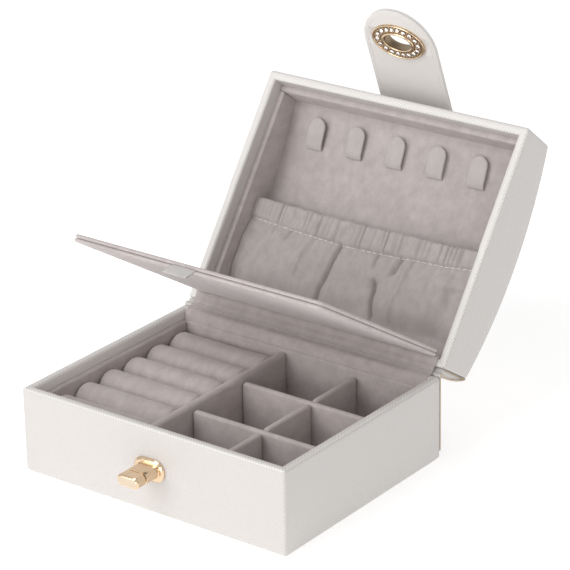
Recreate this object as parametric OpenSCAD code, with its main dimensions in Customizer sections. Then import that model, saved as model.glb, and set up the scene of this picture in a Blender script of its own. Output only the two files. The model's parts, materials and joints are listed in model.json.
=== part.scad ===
// Hinged jewellery box: a leather-wrapped board base with a domed lid, an inner cover flap,
// ring rolls, divided cells, necklace hooks, a gathered pocket and a strap with a turn lock.
// Origin: centre of the underside. +X right, -Y front, +Z up. The lid is drawn open.

/* [Base] */
// Outside width of the box
base_w = 165; // [150:1:190]
// Outside depth of the box
base_d = 131; // [130:1:150]
// Outside height of the base
base_h = 46.4; // [45:0.1:60]
// Whole wall thickness, leather to leather
wall_t = 5; // [4.6:0.1:6]
// Leather thickness
leather_t = 0.8; // [0.6:0.1:1]
// Thickness of the velvet covered liner boards
liner_t = 3.2; // [2.4:0.1:3.4]
// Step from the rim down to the top of the liner
rim_step = 5.5; // [5:0.1:8]

/* [Cells] */
// Number of ring rolls
roll_count = 6; // [5:1:6]
// Height of the ring rolls' tops
roll_top = 38; // [34:0.5:39]
// Left face of the divider beside the rolls
roll_divider_x = -13; // [-16:0.5:-8]
// Thickness of the divider beside the rolls
roll_divider_t = 5; // [3:0.5:6]
// Height of that divider's top
roll_divider_top = 39.5; // [36:0.5:40]
// Thickness of the cell dividers
cell_divider_t = 3.5; // [2.5:0.5:4]
// Height of the cell dividers' tops
cell_divider_top = 37; // [30:0.5:38]
// Distance between the two cross dividers, centre to centre
cross_pitch = 40.5; // [36:0.5:41]
// How far the pair of cross dividers sits behind the middle
cross_shift = -0.4; // [-2:0.1:3]
// How far the cell dividers sit to the right of the middle of the cells
cell_divider_shift = 2; // [0:0.1:4]

/* [Lid] */
// Angle the lid opens to
lid_open = 126; // [110:0.5:130]
// Height of the lid's walls
lid_h = 24.2; // [22:0.1:30]
// How far the lid's front and rear walls lean in over that height
lid_draft = 1.2; // [0:0.1:4]
// Rise of the domed top above the walls
dome_rise = 9.5; // [6:0.5:14]
// Number of necklace hooks
hook_count = 5; // [3:1:5]
// Distance between hooks
hook_pitch = 26.1; // [20:0.1:28]
// Middle of the row of hooks, from the middle of the lid
hook_shift = -2.7; // [-10:0.1:10]
// Width of a hook's tongue
hook_w = 10.4; // [8:0.1:12]
// Length of a hook's tongue
hook_len = 17; // [14:0.1:22]
// Height of the gathered pocket
pocket_h = 55; // [50:1:62]
// Gap between the pocket's cloth and the lid's back panel
pocket_gap = 6.5; // [4:0.5:8]

/* [Flap] */
// Width of the inner cover flap
flap_w = 154; // [145:0.5:154]
// Depth of the inner cover flap
flap_d = 115.5; // [110:0.5:117]
// Thickness of the inner cover flap
flap_t = 4; // [3:0.1:4]
// Angle the flap stands at when the lid is open
flap_rise = 31.9; // [20:0.1:40]

/* [Strap and lock] */
// Width of the strap
strap_w = 45; // [36:1:48]
// Length of the strap beyond its fold
strap_len = 68.5; // [66:0.5:72]
// Thickness of the strap's two layers together
strap_t = 2.4; // [1.6:0.1:2.6]
// Tilt of the open strap from the lid's own down direction, forwards
strap_tilt = 31.9; // [20:0.1:60]
// Distance from the strap's fold to the middle of the eyelet
eyelet_drop = 49.2; // [49:0.1:50]
// Number of stones round the eyelet
stone_count = 18; // [12:1:20]
// Height of the lock's axis
lock_z = 24.4; // [24:0.1:26]
// Width of the lock's boss and of its turning head
knob_w = 13.5; // [11:0.1:14]
// Height of the lock's boss and of its turning head
knob_h = 6.5; // [5:0.1:7]

/* [Hidden] */
$fn = 96;
eps = 0.01;                                  // overlap used only for clean cuts
board_t = wall_t - 2 * leather_t;            // greyboard inside a wall
in_w = base_w - 2 * wall_t;                  // clear width inside the leather
in_d = base_d - 2 * wall_t;
cell_w = in_w - 2 * liner_t;                 // clear width inside the liner
cell_d = in_d - 2 * liner_t;
sheet_t = 1;                                 // sheet under the box
sheet_inset = 1.5;
turn_under = 14;                             // leather folded under the walls
turn_under_t = 0.6;
bottom_board_t = 2.4;
wall_foot = sheet_t + turn_under_t;
board_top = wall_foot + bottom_board_t;
floor_t = 1.5;
floor_top = board_top + floor_t;
liner_top = base_h - rim_step;
turn_in = 12;                                // leather folded inside the walls
rim_velvet_t = 0.5;                          // velvet over the two rear rims
divider_gap = 0.3;

hinge_y = base_d / 2 + 2;                    // lid's hinge axis
hinge_z = base_h + 1;
rim_z = -0.6;                                // lid's rim, from the hinge axis, when closed
lid_front_y = -(base_d + 2);
lid_rear_y = -2;
lid_mid_y = (lid_front_y + lid_rear_y) / 2;
lean = lid_draft / (lid_h - rim_z);
dome_half = base_d / 2 - lid_draft;
dome_r = (dome_half * dome_half + dome_rise * dome_rise) / (2 * dome_rise);
dome_z = lid_h + dome_rise - dome_r;
dome_clear = lid_h + 2 * dome_rise;          // above everything in the lid
lid_reveal = 8;                              // leather seen inside the lid's rim
panel_t = 2.3;                               // lid's back panel
panel_r = dome_r - (wall_t - leather_t) - panel_t;

hook_from_front = 23.9;                       // front rim to the middle of a hook
hook_t = 1.6;
hook_stand = 2.6;                            // gap behind a hook's free end
cloth_t = 1.2;
hem_t = 2;
hem_h = 10;
elastic_w = 6.4;
elastic_t = 0.9;
pocket_w = in_w - 2 * liner_t - 2;
pocket_rear_y = lid_rear_y - wall_t - liner_t - 2;
pocket_front_y = pocket_rear_y - pocket_h;

pivot_y = -8.63;                             // flap's hinge, from the lid's hinge axis
pivot_z = -0.21;
bead_r = 0.6;                                // rolled edge of velvet that the flap turns about
flap_setback = 1.5;                          // hinge to the flap's rear edge
flap_sink = -2;                              // flap's top face below its hinge
flap_corner_r = 4;
board_gap = 0.2;
tab_w = 15;
tab_x = -6;                                  // its middle, left of the flap's middle
tab_t = 0.6;
tab_out = 2;
tab_hang = 5.1;                              // how far the loop hangs below the pinch
tab_in = 14;

fold_y = lid_front_y + lid_draft - 1.4;      // strap's fold axis
fold_z = lid_h + 1.6;
strap_start = 1.8;
strap_end_r = strap_w / 2;
strap_root_len = 45;
eyelet_a = 16.5;                             // outer half width and half height
eyelet_b = 10.5;
hole_a = 8.5;
hole_b = 4.7;
rim_wall = 1.2;
collar_a = 10.2;
collar_b = 6.4;
eyelet_base_t = 0.8;
eyelet_rim_t = 1.4;
collar_t = 1.8;
stone_r = 1.2;
stone_h = 0.9;

plate_w = 19;
plate_h = 12;
plate_t = 2;
boss_len = 8.8;                              // beyond the plate
head_gap = 1.2;
head_t = 6;
spindle_r = 2.35;
spindle_bore_r = 2.4;
wall_hole_r = 2.9;
rivet_r = 3.6;
rivet_t = 1;
backing_t = 1;
prong_x = 7;
prong_w = 0.8;
prong_h = 3;
prong_play = 0.1;

leather_colour = [0.93, 0.91, 0.89];
velvet_colour = [0.67, 0.64, 0.63];
board_colour = [0.62, 0.58, 0.52];
gold_colour = [0.91, 0.80, 0.66];

BASE_NODES = ["bottom_sheet", "base_bottom_board", "base_front_board", "base_rear_board",
    "base_left_board", "base_right_board", "base_cover", "liner_floor", "liner_front",
    "liner_rear", "liner_left", "liner_right", "roll_divider", "cross_divider_rear",
    "cross_divider_front", "cell_divider_rear", "cell_divider_middle", "cell_divider_front",
    "base_spine", "base_hinge_velvet", "lock_plate", "lock_backing_plate"];
ROLL_NODES = [for (i = [1 : roll_count]) str("ring_roll_", i)];
LID_NODES = ["lid_top_board", "lid_front_board", "lid_rear_board", "lid_left_board",
    "lid_right_board", "lid_cover", "lid_liner_front", "lid_liner_rear", "lid_liner_left",
    "lid_liner_right", "lid_back_panel", "pocket_cloth", "pocket_elastic", "strap_root",
    "lid_spine", "lid_hinge_velvet"];
HOOK_NODES = [for (i = [1 : hook_count]) str("necklace_hook_", i)];
MOVING_NODES = ["flap_upper_board", "flap_lower_board", "flap_pull_tab", "flap_hinge_velvet",
    "strap_outer", "strap_inner", "eyelet_outer", "eyelet_inner", "stones_outer", "stones_inner",
    "turn_knob"];

// ---- shared shapes ----

function ellipse_points(a, b, n = 48) = [for (i = [0 : n - 1]) [a * cos(360 * i / n), b * sin(360 * i / n)]];

// A block given by its lowest and highest corners.
module block(low, high) {
    translate(low) cube(high - low);
}

// A flat outline in Y and Z, drawn out evenly to both sides along X.
module along_x(width, x = 0) {
    translate([x - width / 2, 0, 0]) rotate([90, 0, 90]) linear_extrude(width) children();
}

// A board standing on its lower edge with a rounded top edge, from 0 to height.
module rounded_edge_outline(thick, height) {
    translate([-thick / 2, 0]) square([thick, height - thick / 2]);
    translate([0, height - thick / 2]) circle(d = thick);
}

module upright_along_x(x0, x1, y, thick, low, high) {
    translate([0, y, low]) along_x(x1 - x0, (x0 + x1) / 2) rounded_edge_outline(thick, high - low);
}

module upright_along_y(y0, y1, x, thick, low, high) {
    translate([x, (y0 + y1) / 2, low]) rotate([0, 0, 90])
        along_x(y1 - y0) rounded_edge_outline(thick, high - low);
}

module rounded_rectangle(width, height, r) {
    square([width - 2 * r, height], center = true);
    square([width, height - 2 * r], center = true);
    for (sx = [-1, 1], sy = [-1, 1]) translate([sx * (width / 2 - r), sy * (height / 2 - r)]) circle(r);
}

// A round-ended slot shape, wide along X.
module stadium(width, height) {
    square([width - height, height], center = true);
    for (s = [-1, 1]) translate([s * (width - height) / 2, 0]) circle(d = height);
}

// Draws an X-Z outline out towards the front, from depth near to depth far in front of y = 0.
module forwards(near, far) {
    translate([0, -near, 0]) rotate([90, 0, 0]) linear_extrude(far - near) children();
}

// ---- base ----

module bottom_sheet() {
    x = base_w / 2 - sheet_inset;
    y = base_d / 2 - sheet_inset;
    color([0.85, 0.83, 0.8]) block([-x, -y, 0], [x, y, sheet_t]);
}

module base_bottom_board() {
    x = in_w / 2 + leather_t;
    y = in_d / 2 + leather_t;
    color(board_colour) block([-x, -y, wall_foot], [x, y, board_top]);
}

module lock_wall_cuts() {
    translate([0, -base_d / 2, lock_z]) {
        forwards(-wall_t - eps, eps) circle(wall_hole_r);
        lock_prongs(prong_play);
    }
}

module lock_prongs(play) {
    for (s = [-1, 1])
        translate([s * prong_x, 0, 0]) forwards(-wall_t - eps, eps)
            square([prong_w + 2 * play, prong_h + 2 * play], center = true);
}

module base_front_board() {
    x = base_w / 2 - leather_t;
    y = -base_d / 2 + leather_t;
    color(board_colour) difference() {
        block([-x, y, wall_foot], [x, y + board_t, base_h - leather_t]);
        lock_wall_cuts();
    }
}

module base_rear_board() {
    x = base_w / 2 - leather_t;
    y = base_d / 2 - leather_t;
    color(board_colour) block([-x, y - board_t, wall_foot], [x, y, base_h - leather_t]);
}

module base_side_board(side) {
    x = base_w / 2 - leather_t - board_t / 2;
    y = base_d / 2 - leather_t - board_t;
    color(board_colour) translate([side * x, 0, 0])
        block([-board_t / 2, -y, wall_foot], [board_t / 2, y, base_h - leather_t]);
}

// The leather: outer skin, rim, turn-in inside the walls and turn-under below them.
module base_cover() {
    ox = base_w / 2;
    oy = base_d / 2;
    ix = in_w / 2;
    iy = in_d / 2;
    color(leather_colour) difference() {
        block([-ox, -oy, sheet_t], [ox, oy, base_h]);
        block([-ix, -iy, wall_foot], [ix, iy, base_h + 1]);
        block([-ox + turn_under, -oy + turn_under, 0], [ox - turn_under, oy - turn_under, base_h]);
        difference() {
            block([-ox + leather_t, -oy + leather_t, wall_foot],
                [ox - leather_t, oy - leather_t, base_h - leather_t]);
            block([-ix - leather_t, -iy - leather_t, base_h - turn_in],
                [ix + leather_t, iy + leather_t, base_h]);
        }
        block([-ix, iy - 1, base_h - rim_velvet_t], [ix, oy - leather_t, base_h + 1]);
        lock_wall_cuts();
    }
}

module liner_floor() {
    color(velvet_colour) block([-in_w / 2, -in_d / 2, board_top], [in_w / 2, in_d / 2, floor_top]);
}

module liner_across(side) {
    y = in_d / 2 - liner_t / 2;
    upright_along_x(-in_w / 2, in_w / 2, side * y, liner_t, floor_top, liner_top);
}

// The front liner is hollowed behind the lock, for the riveted end of its spindle.
module liner_front() {
    color(velvet_colour) difference() {
        liner_across(-1);
        translate([0, -in_d / 2, lock_z]) forwards(-backing_t - rivet_t - 0.4, eps)
            square([plate_w + 1, plate_h + 1], center = true);
    }
}

module liner_rear() {
    color(velvet_colour) liner_across(1);
}

module liner_side(side) {
    color(velvet_colour)
        upright_along_y(-cell_d / 2, cell_d / 2, side * (in_w - liner_t) / 2, liner_t, floor_top, liner_top);
}

module roll_divider() {
    color(velvet_colour)
        upright_along_y(-cell_d / 2, cell_d / 2, roll_divider_x + roll_divider_t / 2,
            roll_divider_t, floor_top, roll_divider_top);
}

cells_left = roll_divider_x + roll_divider_t + divider_gap;
cells_right = cell_w / 2 - divider_gap;
cells_mid = (cells_left + cells_right) / 2;
cross_y = [cross_shift + cross_pitch / 2, cross_shift - cross_pitch / 2];

module cross_divider(y) {
    color(velvet_colour)
        upright_along_x(cells_left, cells_right, y, cell_divider_t, floor_top, cell_divider_top);
}

module cell_divider(y0, y1) {
    color(velvet_colour)
        upright_along_y(y0 + divider_gap, y1 - divider_gap, cells_mid + cell_divider_shift, cell_divider_t, floor_top,
            cell_divider_top);
}

// A ring roll: foam with a round top, wrapped in velvet, standing on the floor.
module ring_roll(i) {
    pitch = cell_d / roll_count;
    y = -cell_d / 2 + (i - 0.5) * pitch;
    color(velvet_colour)
        upright_along_x(-cell_w / 2 + divider_gap, roll_divider_x - divider_gap, y, pitch - divider_gap,
            floor_top, roll_top);
}

// Leather strip on the rear wall, ending in the rolled fold that the lid turns about.
module base_spine() {
    y = base_d / 2;
    fold_r = 1;
    color(leather_colour) {
        block([-base_w / 2 + 2, y, 4], [base_w / 2 - 2, y + leather_t, base_h]);
        block([-base_w / 2 + 2, y, base_h - leather_t], [base_w / 2 - 2, hinge_y, base_h]);
        translate([0, hinge_y, hinge_z]) rotate([0, 90, 0])
            cylinder(r = fold_r + eps, h = base_w - 4, center = true);
    }
}

// Velvet strip from the top of the rear liner up and over the rear rim.
module base_hinge_velvet() {
    y = in_d / 2;
    color(velvet_colour) along_x(in_w - 0.4)
        polygon([[y - 2.4, liner_top], [y, liner_top], [y, base_h - rim_velvet_t],
            [y + wall_t - leather_t, base_h - rim_velvet_t], [y + wall_t - leather_t, base_h],
            [y - 0.6, base_h]]);
}

// Lock casting: bevelled plate, boss and two prongs through the wall.
module lock_plate() {
    color(gold_colour) translate([0, -base_d / 2, lock_z]) {
        difference() {
            union() {
                forwards(0, plate_t - 0.8) rounded_rectangle(plate_w, plate_h, plate_h / 2 - 0.5);
                forwards(plate_t - 0.8, plate_t)
                    rounded_rectangle(plate_w - 1.6, plate_h - 1.6, plate_h / 2 - 1.3);
                forwards(plate_t, plate_t + boss_len) stadium(knob_w, knob_h);
            }
            forwards(-eps, plate_t + boss_len + eps) circle(spindle_bore_r);
        }
        lock_prongs(0);
    }
}

module lock_backing_plate() {
    color([0.75, 0.72, 0.68]) translate([0, -in_d / 2, lock_z]) difference() {
        forwards(-backing_t, 0) square([plate_w - 1, plate_h - 2], center = true);
        forwards(-backing_t - eps, eps) circle(wall_hole_r);
        forwards(-backing_t - eps, eps) lock_prong_slots();
    }
}

module lock_prong_slots() {
    for (s = [-1, 1])
        translate([s * prong_x, 0])
            square([prong_w + 2 * prong_play, prong_h + 2 * prong_play], center = true);
}

// Turning head, spindle and riveted end, in one piece.
module turn_knob() {
    head_y = plate_t + boss_len + head_gap;
    tail_y = -wall_t - backing_t - 0.15;
    color(gold_colour) translate([0, -base_d / 2, lock_z]) {
        forwards(head_y, head_y + head_t) stadium(knob_w, knob_h);
        forwards(tail_y - rivet_t, head_y + eps) circle(spindle_r);
        forwards(tail_y - rivet_t, tail_y) circle(rivet_r);
    }
}

// ---- lid, drawn closed about its hinge axis and then opened ----

module place_lid() {
    translate([0, hinge_y, hinge_z]) rotate([-lid_open, 0, 0]) children();
}

function front_line(z, inset) = lid_front_y + inset + (z - rim_z) * lean;

// Side view of the lid, moved in from its walls and dome by the given insets.
module lid_outline(wall_inset, dome_inset, low) {
    top = dome_clear;
    rear = 2 * lid_mid_y;
    intersection() {
        polygon([[front_line(low, wall_inset), low], [front_line(top, wall_inset), top],
            [rear - front_line(top, wall_inset), top], [rear - front_line(low, wall_inset), low]]);
        translate([lid_mid_y, dome_z]) circle(dome_r - dome_inset, $fn = 360);
    }
}

// Side view of a leaning wall layer between two insets, under the dome.
module wall_layer_outline(inset0, inset1, dome_inset, low) {
    top = dome_clear;
    intersection() {
        polygon([[front_line(low, inset0), low], [front_line(top, inset0), top],
            [front_line(top, inset1), top], [front_line(low, inset1), low]]);
        translate([lid_mid_y, dome_z]) circle(dome_r - dome_inset, $fn = 360);
    }
}

module front_wall_layer(width, inset0, inset1, dome_inset, low) {
    along_x(width) wall_layer_outline(inset0, inset1, dome_inset, low);
}

module rear_wall_layer(width, inset0, inset1, dome_inset, low) {
    translate([0, 2 * lid_mid_y, 0]) mirror([0, 1, 0])
        front_wall_layer(width, inset0, inset1, dome_inset, low);
}

module lid_block(inset, dome_inset, low) {
    along_x(base_w - 2 * inset) lid_outline(inset, dome_inset, low);
}

board_in = wall_t - leather_t;

module lid_top_board() {
    color(board_colour) place_lid() difference() {
        lid_block(leather_t, leather_t, lid_h - 9);
        translate([0, lid_mid_y, dome_z]) rotate([0, 90, 0])
            cylinder(r = dome_r - board_in, h = base_w + 2, center = true, $fn = 360);
    }
}

module lid_front_board() {
    color(board_colour) place_lid()
        front_wall_layer(base_w - 2 * leather_t, leather_t, board_in, board_in, rim_z + leather_t);
}

module lid_rear_board() {
    color(board_colour) place_lid()
        rear_wall_layer(base_w - 2 * leather_t, leather_t, board_in, board_in, rim_z + leather_t);
}

module lid_side_board(side) {
    x = side * (base_w / 2 - leather_t - board_t / 2);
    color(board_colour) place_lid()
        along_x(board_t, x) lid_outline(board_in, board_in, rim_z + leather_t);
}

// The leather: domed top, walls, rim and turn-in.
module lid_cover() {
    color(leather_colour) place_lid() difference() {
        lid_block(0, 0, rim_z);
        difference() {
            lid_block(leather_t, leather_t, rim_z + leather_t);
            block([-in_w / 2 - leather_t, lid_front_y, rim_z],
                [in_w / 2 + leather_t, lid_rear_y, rim_z + turn_in]);
        }
        lid_block(leather_t + board_t + leather_t, board_in, rim_z - 1);
        difference() {
            lid_block(leather_t, board_in, rim_z + leather_t);
            lid_block(board_in, board_in, rim_z);
        }
        block([-in_w / 2, lid_rear_y - wall_t - 1, rim_z - 1],
            [in_w / 2, lid_rear_y - leather_t, rim_z + rim_velvet_t]);
    }
}

liner_low = rim_z + lid_reveal;
panel_in = board_in + panel_t;

module lid_liner_front() {
    color(velvet_colour) place_lid()
        front_wall_layer(in_w, wall_t, wall_t + liner_t, panel_in, liner_low);
}

module lid_liner_rear() {
    color(velvet_colour) place_lid()
        rear_wall_layer(in_w, wall_t, wall_t + liner_t, panel_in, liner_low);
}

module lid_liner_side(side) {
    color(velvet_colour) place_lid()
        along_x(liner_t, side * (in_w - liner_t) / 2)
            lid_outline(wall_t + liner_t, panel_in, liner_low);
}

module lid_back_panel() {
    color(velvet_colour) place_lid() difference() {
        lid_block(wall_t, board_in, 0);
        translate([0, lid_mid_y, dome_z]) rotate([0, 90, 0])
            cylinder(r = dome_r - panel_in, h = base_w, center = true, $fn = 360);
    }
}

// Places a shape on the back panel: local +Z points out of the lid, -Y towards its front.
module on_panel(y) {
    translate([0, lid_mid_y, dome_z]) rotate([asin((lid_mid_y - y) / panel_r), 0, 0])
        translate([0, 0, panel_r]) children();
}

// Just under the curved panel, at a distance from the place it is touched at.
function under_panel(y) = sqrt(panel_r * panel_r - y * y) - panel_r - eps;

// A necklace hook: a stiff velvet tongue with a round free end that stands off the panel.
module necklace_hook(i) {
    x = hook_shift + (i - (hook_count + 1) / 2) * hook_pitch;
    half = hook_len / 2;
    root = 5;
    near = under_panel(half);
    far = under_panel(half - root);
    color([0.6, 0.57, 0.56]) place_lid() on_panel(lid_front_y + hook_from_front)
        translate([x, 0, 0]) intersection() {
            along_x(hook_w)
                polygon([[half, near], [half, near - hook_t], [half - root, -hook_stand - hook_t],
                    [-half, -hook_stand - hook_t], [-half, -hook_stand],
                    [half - root, -hook_stand], [half - root, far]]);
            translate([0, 0, -10]) linear_extrude(20) {
                translate([-hook_w / 2, -half + hook_w / 2]) square([hook_w, hook_len - hook_w / 2]);
                translate([0, -half + hook_w / 2]) circle(d = hook_w);
            }
        }
}

// A layer that follows the dome, between two depths below the back panel.
module panel_layer(width, y0, y1, depth0, depth1) {
    along_x(width) intersection() {
        translate([y0, 0]) square([y1 - y0, dome_clear]);
        translate([lid_mid_y, dome_z]) difference() {
            circle(panel_r - depth0, $fn = 360);
            circle(panel_r - depth1, $fn = 360);
        }
    }
}

// The pocket: cloth standing off the panel, closed at the rear and both ends, with a hem.
module pocket_cloth() {
    color([0.64, 0.61, 0.6]) place_lid() difference() {
        union() {
            panel_layer(pocket_w, pocket_front_y, pocket_rear_y, 0, pocket_gap + cloth_t);
            panel_layer(pocket_w, pocket_front_y, pocket_front_y + hem_h, pocket_gap, pocket_gap + hem_t);
        }
        panel_layer(pocket_w - 2 * cloth_t, pocket_front_y - 1, pocket_rear_y - cloth_t, -1, pocket_gap);
        pocket_elastic_shape(0);
    }
}

module pocket_elastic_shape(play) {
    middle = pocket_front_y + hem_h / 2;
    depth = pocket_gap + (hem_t - elastic_t) / 2;
    panel_layer(pocket_w - 2 * cloth_t, middle - elastic_w / 2, middle + elastic_w / 2,
        depth, depth + elastic_t);
}

module pocket_elastic() {
    color("white") place_lid() pocket_elastic_shape(0);
}

// The strap's glued end, on the domed top behind the fold.
module strap_root() {
    y0 = fold_y + 1.2;
    color(leather_colour) place_lid() along_x(strap_w) intersection() {
        translate([y0, 0]) square([strap_root_len, dome_clear]);
        translate([lid_mid_y, dome_z]) difference() {
            circle(dome_r + strap_t, $fn = 360);
            circle(dome_r, $fn = 360);
        }
    }
}

module lid_spine() {
    color(leather_colour) place_lid()
        rear_wall_layer(base_w - 4, -leather_t, 0, leather_t, rim_z + leather_t);
}

// Velvet over the lid's rear rim and down its inner face, with the rolled edge that holds the flap.
module lid_hinge_velvet() {
    y = lid_rear_y - wall_t;
    color(velvet_colour) place_lid() {
        block([-flap_w / 2, pivot_y, pivot_z - 0.2], [flap_w / 2, y - 0.5, pivot_z + 0.2]);
        translate([0, pivot_y, pivot_z]) rotate([0, 90, 0]) cylinder(r = bead_r, h = flap_w, center = true);
        along_x(in_w - 0.4)
        polygon([[y + wall_t - leather_t, rim_z], [y + wall_t - leather_t, rim_z + rim_velvet_t],
            [y - lean * rim_velvet_t - eps, rim_z + rim_velvet_t],
            [y - lean * lid_reveal - eps, liner_low], [y - 1.5, liner_low], [y - 0.6, rim_z]]);
    }
}

// ---- flap, drawn level about its hinge and then raised ----

module place_flap() {
    place_lid() translate([0, pivot_y, pivot_z]) rotate([lid_open - flap_rise, 0, 0]) children();
}

module flap_board(high, low) {
    place_flap() translate([0, -flap_setback - flap_d / 2, -flap_sink - low])
        linear_extrude(low - high) rounded_rectangle(flap_w, flap_d, flap_corner_r);
}

module flap_upper_board() {
    color(velvet_colour) difference() {
        flap_board(0, flap_t / 2 - board_gap / 2);
    }
}

module flap_lower_board() {
    color(velvet_colour) difference() {
        flap_board(flap_t / 2 - board_gap / 2, flap_t);
        tab_tail(tab_t + board_gap, eps);
    }
}

// The pull tab is a ribbon pinched between the boards, looped over the front edge.
tab_y = -flap_setback - flap_d;
tab_z = -flap_sink - flap_t / 2 + board_gap / 2;

module tab_tail(thick, over) {
    place_flap() block([tab_x - tab_w / 2, tab_y - over, tab_z - thick], [tab_x + tab_w / 2, tab_y + tab_in, tab_z]);
}

module tab_loop() {
    far = -tab_out;
    near = -0.15;
    low = -tab_hang;
    place_flap() translate([tab_x - tab_w / 2, tab_y, tab_z]) rotate([90, 0, 90]) linear_extrude(tab_w)
        difference() {
            polygon([[0.5, 0], [0, 0], [far + 0.8, -0.2], [far, -1.1], [far, low + 0.7], [far + 0.6, low],
                [near - 0.6, low], [near, low + 0.7], [near, -tab_t], [0.5, -tab_t]]);
            polygon([[far + 1.1, -0.8], [far + tab_t, -1.35], [far + tab_t, low + 0.9], [far + 0.85, low + tab_t],
                [near - 0.8, low + tab_t], [near - tab_t, low + 0.9], [near - tab_t, -0.8]]);
        }
}

module flap_pull_tab() {
    color([0.78, 0.76, 0.75]) union() {
        tab_tail(tab_t, 0);
        tab_loop();
    }
}

module flap_hinge_velvet() {
    reach = 12;
    color(velvet_colour) place_flap()
        block([-flap_w / 2 + 6, -flap_setback - reach, -flap_sink],
            [flap_w / 2 - 6, -flap_setback, -flap_sink + 0.4]);
}

// ---- strap, drawn hanging from its fold and then raised ----

module place_strap() {
    place_lid() translate([0, fold_y, fold_z]) rotate([-strap_tilt, 0, 0]) children();
}

module strap_outline() {
    straight = strap_len - strap_end_r;
    difference() {
        union() {
            translate([-strap_w / 2, -straight]) square([strap_w, straight - strap_start]);
            translate([0, -straight]) circle(strap_end_r);
        }
        translate([0, -eyelet_drop]) polygon(ellipse_points(hole_a + rim_wall, hole_b + rim_wall));
    }
}

// The outer layer, with the rolled fold that the strap turns about.
module strap_outer() {
    color(leather_colour) place_strap() {
        forwards(0, strap_t / 2) strap_outline();
        block([-strap_w / 2, -strap_t / 2, -strap_start], [strap_w / 2, 0, 0]);
        rotate([0, 90, 0]) cylinder(r = strap_t / 2 - eps, h = strap_w, center = true);
    }
}

module strap_inner() {
    color(leather_colour) place_strap() forwards(-strap_t / 2, 0) strap_outline();
}

// One step of the eyelet: an oval ring between two depths.
module oval_ring(near, far, a0, b0, a1, b1) {
    forwards(near, far) difference() {
        polygon(ellipse_points(a1, b1));
        polygon(ellipse_points(a0, b0));
    }
}

// Half of the eyelet: a channel for the stones between an outer rim and a taller collar.
module eyelet_half() {
    face = strap_t / 2;
    oval_ring(face, face + eyelet_base_t, hole_a + rim_wall, hole_b + rim_wall, eyelet_a, eyelet_b);
    oval_ring(face, face + eyelet_rim_t, eyelet_a - rim_wall, eyelet_b - rim_wall, eyelet_a, eyelet_b);
    oval_ring(face, face + collar_t, hole_a + rim_wall, hole_b + rim_wall, collar_a, collar_b);
}

// The outer half carries the barrel that lines the hole through the strap.
module eyelet_outer() {
    reach = strap_t / 2 + collar_t;
    color(gold_colour) place_strap() translate([0, 0, -eyelet_drop]) {
        eyelet_half();
        oval_ring(-reach, reach, hole_a, hole_b, hole_a + rim_wall, hole_b + rim_wall);
    }
}

module eyelet_inner() {
    color(gold_colour) place_strap() translate([0, 0, -eyelet_drop]) mirror([0, 1, 0]) eyelet_half();
}

// Brilliants set evenly round the channel of one half.
module stones() {
    a = (eyelet_a - rim_wall + collar_a) / 2;
    b = (eyelet_b - rim_wall + collar_b) / 2;
    evenness = (a - b) / (a + b) / 2 * 180 / PI;
    face = strap_t / 2 + eyelet_base_t;
    for (i = [0 : stone_count - 1]) {
        s = 360 * i / stone_count;
        t = s + evenness * sin(2 * s);
        translate([a * cos(t), -face, b * sin(t)]) rotate([90, 0, 0]) {
            cylinder(r = stone_r, h = stone_h / 2, $fn = 24);
            translate([0, 0, stone_h / 2])
                cylinder(r1 = stone_r, r2 = stone_r * 0.6, h = stone_h / 2, $fn = 24);
        }
    }
}

module stones_outer() {
    color("white") place_strap() translate([0, 0, -eyelet_drop]) stones();
}

module stones_inner() {
    color("white") place_strap() translate([0, 0, -eyelet_drop]) mirror([0, 1, 0]) stones();
}

// ---- one line for each node ----

bottom_sheet();
base_bottom_board();
base_front_board();
base_rear_board();
base_side_board(-1);  // base_left_board
base_side_board(1);  // base_right_board
base_cover();
liner_floor();
liner_front();
liner_rear();
liner_side(-1);  // liner_left
liner_side(1);  // liner_right
roll_divider();
cross_divider(cross_y[0]);  // cross_divider_rear
cross_divider(cross_y[1]);  // cross_divider_front
cell_divider(cross_y[0] + cell_divider_t / 2, cell_d / 2);  // cell_divider_rear
cell_divider(cross_y[1] + cell_divider_t / 2, cross_y[0] - cell_divider_t / 2);  // cell_divider_middle
cell_divider(-cell_d / 2, cross_y[1] - cell_divider_t / 2);  // cell_divider_front
for (i = [1 : roll_count]) ring_roll(i);
base_spine();
base_hinge_velvet();
lock_plate();
lock_backing_plate();
lid_top_board();
lid_front_board();
lid_rear_board();
lid_side_board(-1);  // lid_left_board
lid_side_board(1);  // lid_right_board
lid_cover();
lid_liner_front();
lid_liner_rear();
lid_liner_side(-1);  // lid_liner_left
lid_liner_side(1);  // lid_liner_right
lid_back_panel();
for (i = [1 : hook_count]) necklace_hook(i);
pocket_cloth();
pocket_elastic();
strap_root();
lid_spine();
lid_hinge_velvet();
flap_upper_board();
flap_lower_board();
flap_pull_tab();
flap_hinge_velvet();
strap_outer();
strap_inner();
eyelet_outer();
eyelet_inner();
stones_outer();
stones_inner();
turn_knob();
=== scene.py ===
import json
import math

import bmesh
import bpy
from mathutils import Matrix, Vector, noise


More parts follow.
